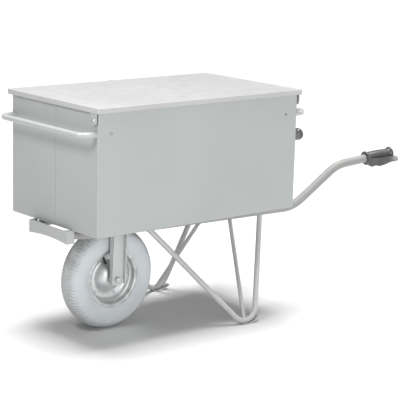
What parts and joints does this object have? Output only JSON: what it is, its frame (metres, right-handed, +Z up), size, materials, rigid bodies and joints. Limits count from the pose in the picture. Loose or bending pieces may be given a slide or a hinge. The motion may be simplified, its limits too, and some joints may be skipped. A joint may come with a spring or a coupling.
{
  "type": "wheelbarrow",
  "caption": "Steel tool-box wheelbarrow with a hinged lid, carry handles on the box ends, bent tube legs, a pneumatic front wheel and guarded safety grips.",
  "frame": {"origin": "on the ground, at the centre of the bounding box seen from above", "axes": "+X from the wheel towards the grips, +Z up, -Y is the side with the lid hinge and the centre plane is Y = 0"},
  "size_m": [1.606, 0.6252, 0.903],
  "materials": {
    "grey_paint": "satin light grey powder coat",
    "zinc_hardware": "bright zinc plate",
    "bright_rim": "zinc-plated pressed steel",
    "grey_tyre": "pale grey non-marking rubber",
    "black_rubber": "matt",
    "black_plastic": "moulded, matt",
    "white_nylon": "natural nylon"
  },
  "bodies": {
    "barrow": {"near_side_panel": "grey_paint", "far_side_panel": "grey_paint", "seam_strips": "grey_paint", "floor_pan": "grey_paint", "padlock_eye": "grey_paint", "front_carry_handle": "grey_paint", "rear_carry_handle": "grey_paint", "front_crossbar": "grey_paint", "near_handle_rail": "grey_paint", "far_handle_rail": "grey_paint", "fork_bridge_plate": "grey_paint", "middle_floor_bearer": "grey_paint", "rear_floor_bearer": "grey_paint", "rear_cross_tube": "grey_paint", "near_leg": "grey_paint", "far_leg": "grey_paint", "near_leg_brace": "grey_paint", "far_leg_brace": "grey_paint", "near_foot_shoe": "grey_paint", "far_foot_shoe": "grey_paint", "near_fork_leg": "grey_paint", "far_fork_leg": "grey_paint", "hinge_bolts": "zinc_hardware", "hinge_bushes": "zinc_hardware", "hinge_nuts": "zinc_hardware", "carry_handle_screws": "zinc_hardware", "carry_handle_nuts": "zinc_hardware", "floor_bolts": "zinc_hardware", "floor_bolt_nuts": "zinc_hardware", "axle_bolt": "zinc_hardware", "axle_nut": "zinc_hardware", "axle_washers": "zinc_hardware", "axle_sleeve": "zinc_hardware", "axle_spacers": "zinc_hardware", "lid_buffers": "black_rubber", "near_grip": "black_plastic", "far_grip": "black_plastic"},
    "lid": {"lid_panel": "grey_paint", "lid_stiffeners": "grey_paint", "front_hinge_plate": "grey_paint", "rear_hinge_plate": "grey_paint", "lid_lock_tab": "grey_paint"},
    "wheel": {"tyre": "grey_tyre", "inner_tube": "black_rubber", "near_rim_half": "bright_rim", "far_rim_half": "bright_rim", "rim_bolts": "zinc_hardware", "rim_nuts": "zinc_hardware", "hub_tube": "zinc_hardware", "hub_bushes": "white_nylon", "valve_stem": "black_rubber", "valve_cap": "black_plastic"}
  },
  "joints": [
    {"name": "lid_hinge", "type": "hinge", "parent": "barrow", "child": "lid", "pos_m": [-0.25333, -0.261, 0.856], "axis": [1, 0, 0], "range_deg": [0, 110]},
    {"name": "wheel_spin", "type": "hinge", "parent": "barrow", "child": "wheel", "pos_m": [-0.48233, 0, 0.2], "axis": [0, 1, 0], "continuous": true}
  ]
}
